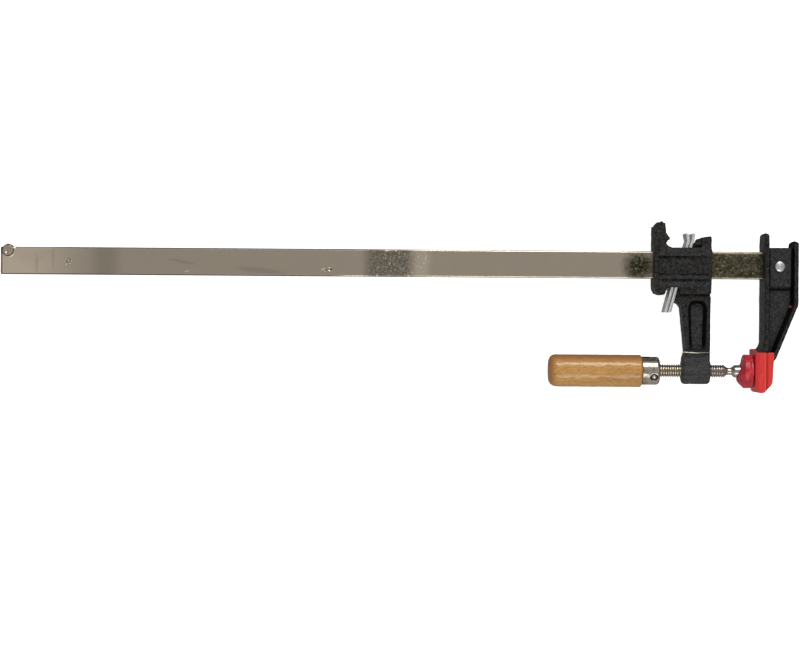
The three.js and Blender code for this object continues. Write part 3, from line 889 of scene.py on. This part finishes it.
def head_skin(place, normal):
    """A rougher cast skin, ribbed on the cheeks, and broken and lumpy on the posts."""
    torn = ease(place.y, 12.2, 14.5)
    height = 0.1 * lumps(place, 1.1) + 0.15 * lumps(place, 3.4, 1.0) + 0.08
    height += torn * (0.4 * lumps(place, 1.7, 3.0) + 0.25 * lumps(place, 4.2, 4.0))
    ribs = ease(place.y, -16, -10) * ease(place.y, 12, 8) * ease(abs(place.z), 9, 11)
    height += 0.12 * ribs * lumps(Vector((0, place.y * 3, 0)), 3.0, 5.0)
    shift = normal * height
    if place.x < -66:
        # The left post's top is lower at the back than at the front.
        shift.y += 0.9 * ease(place.y, 24, 27)
        shift.y -= 0.9 * max(0.0, place.y - 25.6) * (1 - ease(place.z, 5, 9.5))
    if place.x > -46 and place.y < -22:
        shift.x += 0.45 * ease(normal.x, 0.5, 0.8)  # the arm's straight edge
    deep = place.x - FLANGE["left"]
    along = abs(place.z) - FLANGE["half"] + FLANGE["round"]
    if deep < FLANGE["round"] and along > 0:
        round_off = rounding((deep - FLANGE["round"], along, 0), FLANGE["round"])
        shift += Vector((round_off.x, 0, math.copysign(round_off.y, place.z)))
    return shift


def make_castings(jaw, head, red):
    """The two jaws and the fixed jaw's soft pad."""
    fixed = cast("fixed_jaw", "fixed_jaw_casting", 0.36, 3, fixed_jaw_skin)
    settle(fixed, "frame", ["fixed_jaw"], jaw)

    clinker = [
        (-47.2, 11.6, 6.5, 1.9), (-45.4, 13.9, 7.0, 2.0), (-43.4, 16.0, 7.4, 1.9),
        (-41.6, 16.6, 7.4, 1.5), (-38.7, 17.3, 9.0, 1.7), (-42.6, 13.4, 9.6, 1.5),
        (-40.8, 15.8, 9.9, 1.4), (-48.4, 10.4, 8.0, 1.3),
        (-71.3, 28.0, 8.6, 1.2), (-66.9, 18.3, 9.6, 1.5),  # on the left post
    ]
    sliding = cast("sliding_jaw", "sliding_jaw_casting", 0.36, 3, head_skin, clinker)
    settle(sliding, "sliding_head", ["sliding_jaw"], head)

    foot = place_of(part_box("fixed_jaw_pad")[0]).y

    def pad_skin(place, normal):
        """Smooth, with a groove down each flat side, and its foot lifted a little."""
        height = 0.08 * lumps(place, 2.0) + 0.12 * lumps(place, 6.0, 1.0)
        groove = math.exp(-((place.x - 1.25) / 0.5) ** 2) * ease(abs(place.z), 12.5, 13.2)
        lift = Vector((0, 0.7 * ease(place.y, foot + 8, foot + 1), 0))
        return normal * (height - 0.5 * groove) + lift

    # The pad's lower corner is too thin for its mesh, so it's backed inside.
    corner = ((0.9, -84.6), (1.6, -83.6))
    backing = [(x, y, 0.8 * k, 1.3) for x, y in corner for k in range(-14, 15)]
    pad = cast("fixed_jaw_pad", "fixed_jaw_boot", 0.34, 4, pad_skin, backing)
    settle(pad, "frame", ["fixed_jaw_pad"], red)


# ---- Small metal pieces ----

def make_rivet(look):
    """A domed head with a shallow ring pressed in it on each side, joined by the shank."""
    low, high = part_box("fixed_jaw_rivet")
    centre = place_of((low + high) / 2)
    half = (high.z - low.z) / 2 / MM
    radius = (high.x - low.x) / 2 / MM + 0.15
    shank = 2.5
    profile = [  # (share of the radius, drop from the top)
        (0, 0), (0.3, 0.05), (0.4, 0.25), (0.52, 0.22), (0.8, 0.5), (0.94, 0.95), (1, 1.6), (0.98, 2.1),
    ]
    head = [(radius * share, half - drop) for share, drop in profile]
    seat = half - 2.1
    line = head + [(shank, seat), (shank, -seat)] + [(out, -up) for out, up in reversed(head)]
    piece = headed("fixed_jaw_rivet_head", centre, Vector((0, 0, 1)), line, 64)
    settle(piece, "frame", ["fixed_jaw_rivet"], look)


def make_plates(look):
    """The two clutch plates, with their pressed edges broken."""
    for side in ("left", "right"):
        piece = machined(f"clutch_plate_{side}", f"clutch_plate_{side}_pressing", 0.22)
        settle(piece, f"clutch_{side}", [f"clutch_plate_{side}"], look)


def make_spring(look):
    """A round-wire compression spring with its turns closer at the ends."""
    low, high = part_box("clutch_spring")
    start, end = place_of(low), place_of(high)
    thick = 0.4  # the wire's radius
    middle_y = (start.y + end.y) / 2
    radius = (end.z - start.z) / 2 - thick
    turns, steps = 6, 240
    rings = []
    for i in range(steps + 1):
        t = i / steps
        angle = 2 * math.pi * turns * t
        spread = t - math.sin(2 * math.pi * t) * 0.09
        x = start.x + thick + (end.x - start.x - 2 * thick) * spread
        out = Vector((0, math.cos(angle), math.sin(angle)))
        centre = Vector((x, middle_y, 0)) + out * radius
        rings.append([
            tuple(centre + (X_AXIS * math.sin(a) + out * math.cos(a)) * thick) for a in turn_angles(12)
        ])
    piece = skin("clutch_spring_coil", rings)
    settle(piece, "sliding_head", ["clutch_spring"], look)
    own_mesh(piece)


# ---- Screw ----

PITCH = 1.6
THREAD = {"left": -71.6, "right": -26.4, "major": 4.5, "deep": 0.9}


def thread_depth(x, angle):
    """How far a rounded right-hand thread cuts in at a place, in millimetres."""
    phase = (x / PITCH - angle / (2 * math.pi)) % 1
    flank = abs(phase - 0.5) * 2
    run_in = ease(x, THREAD["left"], THREAD["left"] + 1.6)
    run_out = ease(x, THREAD["right"] + 0.3, THREAD["right"] - 1.0)
    return THREAD["deep"] * (1 - ease(flank, 0.12, 0.78)) * run_in * run_out


def make_screw(look):
    """The tang, the threaded rod, the thin neck, and the collar and ball at the pad's end."""
    tang = [(-120, 0), (-120, 2.9), (-119.8, 3.1), (-72.2, 3.1), (-72.0, 3.7), (-71.4, THREAD["major"])]
    thread = [(x, THREAD["major"]) for x in np.arange(-71.3, THREAD["right"] - 0.4, 0.1)]
    end = softened([
        (THREAD["right"] - 0.4, 4.45), (THREAD["right"] + 0.1, 4.2, 0.4), (-24.6, 2.6, 0.9),
        (-21.6, 2.5, 0.9), (-20.2, 3.5, 0.7), (-19.4, 4.4, 0.7), (-14.6, 4.4, 0.3), (-14.3, 3.6),
        (-14.3, 1.6),
    ], 6)
    stem, ball = 1.6, 2.2
    middle = (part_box("screw")[1].x - DATUM.x) / MM - ball
    start = math.asin(stem / ball)
    arcs = [start + (math.pi - start) * k / 10 for k in range(11)]
    end += [(middle - ball * math.cos(a), ball * math.sin(a)) for a in arcs]
    line = tang + thread + divided(end, 0.4)

    def bend(x, r, angle):
        if THREAD["left"] < x < THREAD["right"] + 0.3 and r > 3.5:
            return (x, r - thread_depth(x, angle))
        return (x, r)

    piece = turned("screw_threaded", line, 72, bend=bend)
    settle(piece, "spindle", ["screw"], look)


def make_cap(look):
    """The soft swivel cap: a short drum with a back that slopes, more below than above."""
    left, shoulder, right = -16.15, -13.2, -6.95
    radius, mouth, wall = 11.75, 4.6, 1.25
    line = softened([
        (right - wall, 0), (right - wall, 9.8), (-13.9, 9.8), (-14.9, mouth), (left, mouth, 0.4),
        (left, mouth + 1.5, 0.7), (shoulder - 0.2, radius - 0.6, 0.5), (shoulder + 0.5, radius, 0.35),
        (right - 2.4, radius - 0.1, 0.8), (right - 1.9, radius - 0.35, 0.6),
        (right, radius - 0.35, 0.9), (right, 0),
    ])

    def bend(x, r, angle):
        back = ease(x, shoulder, left)
        tilt = 0.26 * r * math.cos(angle) * back
        wave = Vector((x, 6 * math.cos(angle), 6 * math.sin(angle)))
        out = 0.16 * lumps(wave, 2.2) * ease(r, 5, 9)
        return (x + tilt + 0.3 * lumps(wave, 3.0, 4.0) * back, min(r + out, radius) if r > 10 else r)

    piece = turned("swivel_cap_moulding", divided(line, 0.45), 120, bend=bend)
    settle(piece, "pad", ["swivel_pad_cap"], look)


# ---- Handle ----

def make_handle(look):
    """The turned handle, slightly out of round, with its tenon and its bore for the tang."""
    left = (handle_low.x - DATUM.x) / MM + 0.5
    right = -83.6
    radius, tenon, bore = 11.1, 8.2, 3.5
    line = softened([
        (left, 0), (left, radius, 6.2), (right - 0.9, radius, 0.8), (right, radius - 1.0, 0.5),
        (right, tenon), (-75.2, tenon), (-73.3, 6.4), (-73.3, bore), (-119.6, bore), (-119.6, 0),
    ], 9)

    def bend(x, r, angle):
        if r < 9 or x > right:
            return (x, r)
        wave = Vector((x * 0.35, 8 * math.cos(angle), 8 * math.sin(angle)))
        droop = 0.25 * math.cos(angle) * ease(x, left + 1, left + 8)
        return (x, r + 0.14 * lumps(wave, 2.0) + 0.1 - droop)

    piece = turned("handle_turned", divided(line, 0.8), 128, bend=bend)
    settle(piece, "spindle", ["handle"], look)


def dimple(x, r, angle):
    """The ferrule's wall, pressed in round the pin's hole."""
    around = angle - math.atan2(PIN_OUT.z, PIN_OUT.y)
    around = (around + math.pi) % (2 * math.pi) - math.pi
    away = math.hypot(x - PIN_X, around * FERRULE_RADIUS)
    press = 1.4 * ease(away, 3.0, 1.9) - 0.12 * ease(away, 4.2, 3.2) * ease(away, 2.6, 3.2)
    return (x, r - press)


def make_ferrule(look):
    """The drawn metal cup, with a slot in its rim and a pressed dimple for the pin."""
    left, right, radius, wall = -83.3, -71.2, FERRULE_RADIUS, 0.8
    line = softened([
        (left, radius, 0.25), (right, radius, 2.6), (right, 4.9, 0.3), (right - wall, 4.9, 0.2),
        (right - wall, radius - wall, 2.0), (left, radius - wall, 0.25),
    ], 7)
    fine = divided(line + [line[0]], 0.35)[:-1]
    piece = turned("ferrule_cup", fine, 160, closed=True, bend=dimple)
    turn = math.radians(75)
    cutter = object_of("slot", bpy.data.meshes.new("slot"))
    with edited(cutter.data) as work:
        bmesh.ops.create_cube(work, size=1)
        bmesh.ops.scale(work, vec=Vector((7.6, 8, 3.2)) * MM, verts=work.verts)
    centre = at(left + 1.2, AXIS_Y + 9 * math.sin(turn), 9 * math.cos(turn))
    cutter.matrix_world = Matrix.Translation(centre) @ Matrix.Rotation(turn - math.pi / 2, 4, "X")
    bpy.context.view_layer.update()
    trim = piece.modifiers.new("slot", "BOOLEAN")
    trim.operation = "DIFFERENCE"
    trim.object = cutter
    trim.solver = "EXACT"
    bake(piece)
    bpy.data.objects.remove(cutter)
    piece.data.set_sharp_from_angle(angle=math.radians(50))
    settle(piece, "spindle", ["ferrule"], look)


def make_pin(look):
    """The pin's round head in the dimple, and its plain end on the far side."""
    shank = 1.3
    line = [
        (0, 9.75), (0.5, 9.69), (1.0, 9.47), (1.4, 9.1), (1.75, 8.45), (1.575, 8.05),
        (shank, 7.95), (shank, -9.6), (1.0, -9.85), (0, -9.85),
    ]
    piece = headed("handle_pin_head", Vector((PIN_X, AXIS_Y, 0)), PIN_OUT, line, 40)
    settle(piece, "spindle", ["handle_pin"], look)


# ---- Seam on the arm ----

def make_seam(look):
    """A thin bright line across the arm's face, that dips at its ends."""
    left, right = -55.8, -36.6
    rings = []
    steps = 60
    for i in range(steps + 1):
        t = i / steps
        x = left + (right - left) * t
        y = -60.0 - 0.5 * math.sin(math.pi * t)
        thick = (0.42 - 0.14 * ease(t, 0.35, 0.6)) * (0.85 + 0.3 * lumps(Vector((x, 0, 0)), 1.1))
        z = 8.6 - 1.2 * ease(x, left + 1.6, left) - 0.6 * ease(x, right - 1.2, right)
        rings.append([
            (x, y + thick * math.cos(a), z + 0.5 * thick * math.sin(a)) for a in turn_angles(10)
        ])
    settle(skin("arm_seam", rings), "sliding_head", [], look)


# ---- The scene ----

def make_swivel_pad(look):
    """The metal disc in the cap keeps its CAD shape."""
    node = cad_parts["swivel_pad"]
    node.data.materials.clear()
    node.data.materials.append(look)


def make_floor():
    """A plain white table that sweeps up at its far edges. It glows a little, so that it stays
    even, and it doesn't show in the clamp's reflections or shade it."""
    look = Look("floor", Roughness=0.9)
    shade = look.rise(look.noise(60, 3), 0.3, 0.7)
    look.set(Base_Color=look.mix(shade, (246, 246, 246), (249, 249, 249)))
    look.set(Emission_Color=(1, 1, 1, 1), Emission_Strength=0.8)
    ground = cad_bounds[0].z - 0.0005
    profile = [(3, 0), (3.6, 0.08), (4.2, 0.4), (4.6, 1), (4.8, 2), (4.9, 5)]  # metres out and up
    sides = 96
    points = []
    for out, up in profile:
        points += [(out * math.cos(a), out * math.sin(a), ground + up) for a in turn_angles(sides)]
    faces = [tuple(range(sides))]
    for i in range(0, len(points) - sides, sides):
        for j in range(sides):
            k = (j + 1) % sides
            faces.append((i + j, i + sides + j, i + sides + k, i + k))
    mesh = bpy.data.meshes.new("floor")
    mesh.from_pydata(points, [], faces)
    mesh.materials.append(look.material)
    floor = object_of("floor", mesh)
    floor.visible_glossy = floor.visible_diffuse = floor.visible_shadow = False


def make_light(name, tilt, power, size, x):
    """A long softbox parallel to the bar, tilted from overhead towards +Y."""
    data = bpy.data.lights.new(name, "AREA")
    data.shape = "RECTANGLE"
    data.size, data.size_y = size
    data.energy = power
    lamp = object_of(name, data)
    angle = math.radians(tilt)
    lamp.location = at(x, -60) + Vector((0, math.sin(angle), math.cos(angle))) * 1.5  # metres
    lamp.rotation_euler = (-angle, 0, 0)


def make_world():
    """A room that is dim overhead and dark at the far horizon, and brighter on the near side and
    on the left."""
    world = bpy.data.worlds.new("studio")
    world.use_nodes = True
    tree = world.node_tree

    def node(kind, *values):
        made = tree.nodes.new(kind)
        for socket, value in zip(made.inputs, values):
            wire(tree, socket, value)
        return made

    def ramp(share, stops):
        made = node("ShaderNodeValToRGB", share)
        while len(made.color_ramp.elements) < len(stops):
            made.color_ramp.elements.new(0.5)
        for element, (height, level) in zip(made.color_ramp.elements, stops):
            element.position = (height + 1) / 2
            element.color = (level, level, level, 1)
        return made.outputs["Color"]

    direction = tree.nodes.new("ShaderNodeTexCoord").outputs["Generated"]
    parts = node("ShaderNodeSeparateXYZ", direction)
    height = node("ShaderNodeMapRange", parts.outputs["Z"], -1.0, 1.0).outputs["Result"]
    far = ramp(height, [(-1, 0.2), (-0.4, 0.18), (0, 0.08), (0.3, 0.2), (0.7, 0.42), (1, 0.4)])
    near = ramp(height, [(-1, 0.36), (-0.4, 0.42), (0, 0.5), (0.3, 0.46), (0.7, 0.42), (1, 0.4)])
    leaning = node("ShaderNodeVectorMath", direction, (-0.4, -0.92, 0))
    leaning.operation = "DOT_PRODUCT"
    share = node("ShaderNodeMapRange", leaning.outputs["Value"], -0.4, 0.5).outputs["Result"]
    wire(tree, tree.nodes["Background"].inputs["Color"], mixed(tree, share, far, near))
    bpy.context.scene.world = world


def make_camera():
    """Straight above the clamp, turned very slightly, as the clamp was photographed."""
    data = bpy.data.cameras.new("camera")
    data.sensor_width = 36
    data.lens = 94.2
    camera = object_of("camera", data)
    camera.location = at(-250.9, -42.8, 1450)
    camera.rotation_euler = (0, 0, math.radians(0.415))
    bpy.context.scene.camera = camera


screw_metal = screw_look()
rivet_metal = rivet_look()
make_bar(bar_look())
make_castings(jaw_look(), head_look(), red_look())
make_rivet(rivet_metal)
make_plates(zinc_look())
make_spring(spring_look())
make_screw(screw_metal)
make_swivel_pad(screw_metal)
make_cap(crimson_look())
make_handle(wood_look())
make_ferrule(ferrule_look())
make_pin(rivet_metal)
make_seam(seam_glint_look())
make_floor()
make_world()
make_light("softbox_far", tilt=50, power=11, size=(0.7, 0.5), x=60)
make_light("softbox_near", tilt=-40, power=5.5, size=(0.8, 0.5), x=20)
make_camera()
bpy.context.scene.view_settings.view_transform = "Standard"
